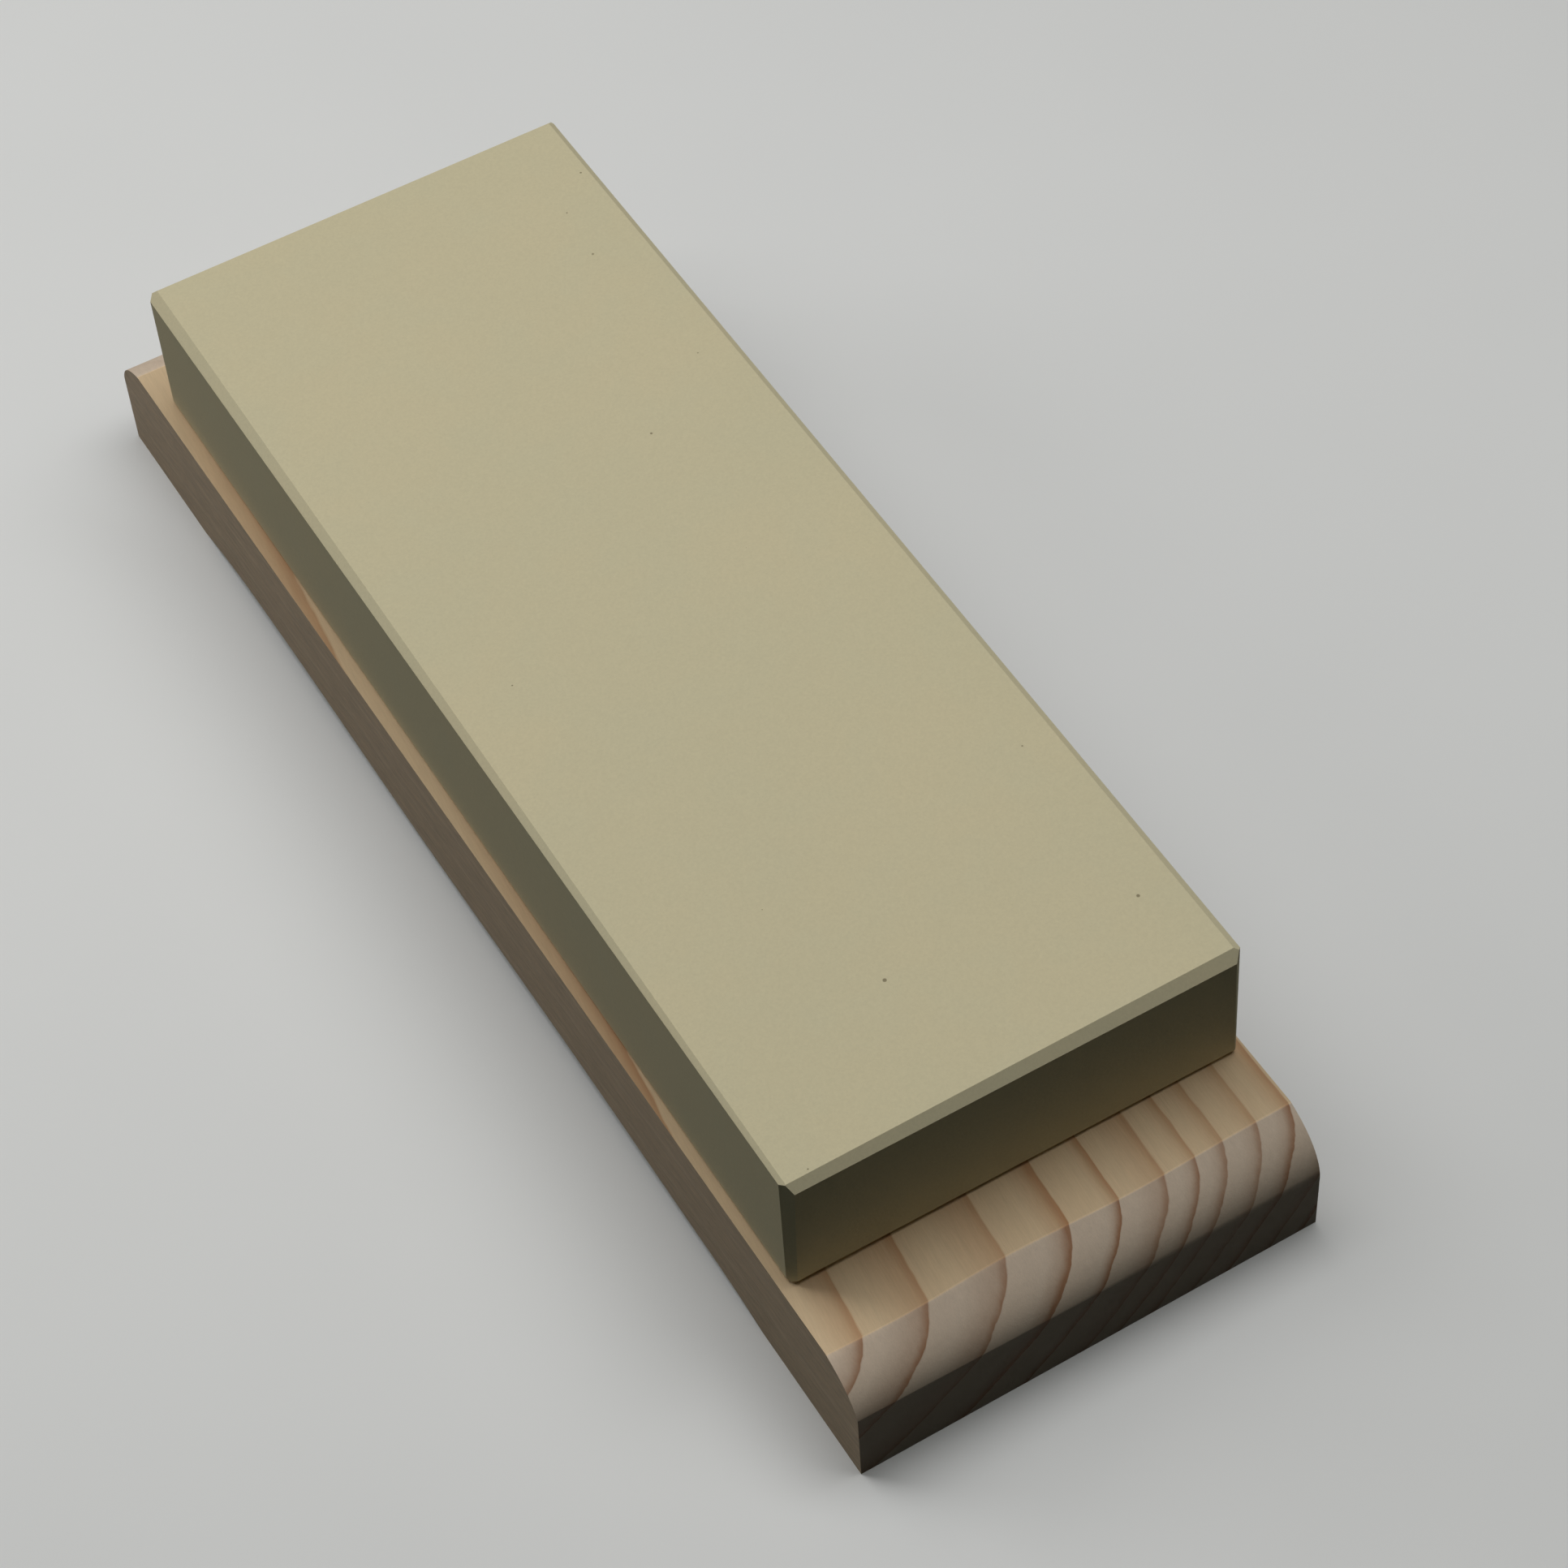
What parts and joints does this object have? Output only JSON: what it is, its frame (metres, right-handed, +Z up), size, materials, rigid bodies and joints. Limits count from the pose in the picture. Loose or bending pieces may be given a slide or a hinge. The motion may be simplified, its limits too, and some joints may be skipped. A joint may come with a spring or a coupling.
{
  "type": "bench whetstone on a wooden base",
  "caption": "Long flat sharpening stone with chamfered edges, bonded on top of a longer wooden base with rounded ends and a relieved underside.",
  "frame": {"origin": "centre of the wooden base's footprint, at the level of its feet", "axes": "+Z up out of the working face, Y along the length with the stone set 3.8 mm closer to the +Y end, X across the width"},
  "size_m": [0.078, 0.24, 0.0466],
  "materials": {
    "stone": "matte",
    "adhesive": "satin",
    "softwood": "matte"
  },
  "bodies": {
    "root": {"stone": "stone", "glue_film": "adhesive", "wooden_base": "softwood"}
  },
  "joints": []
}
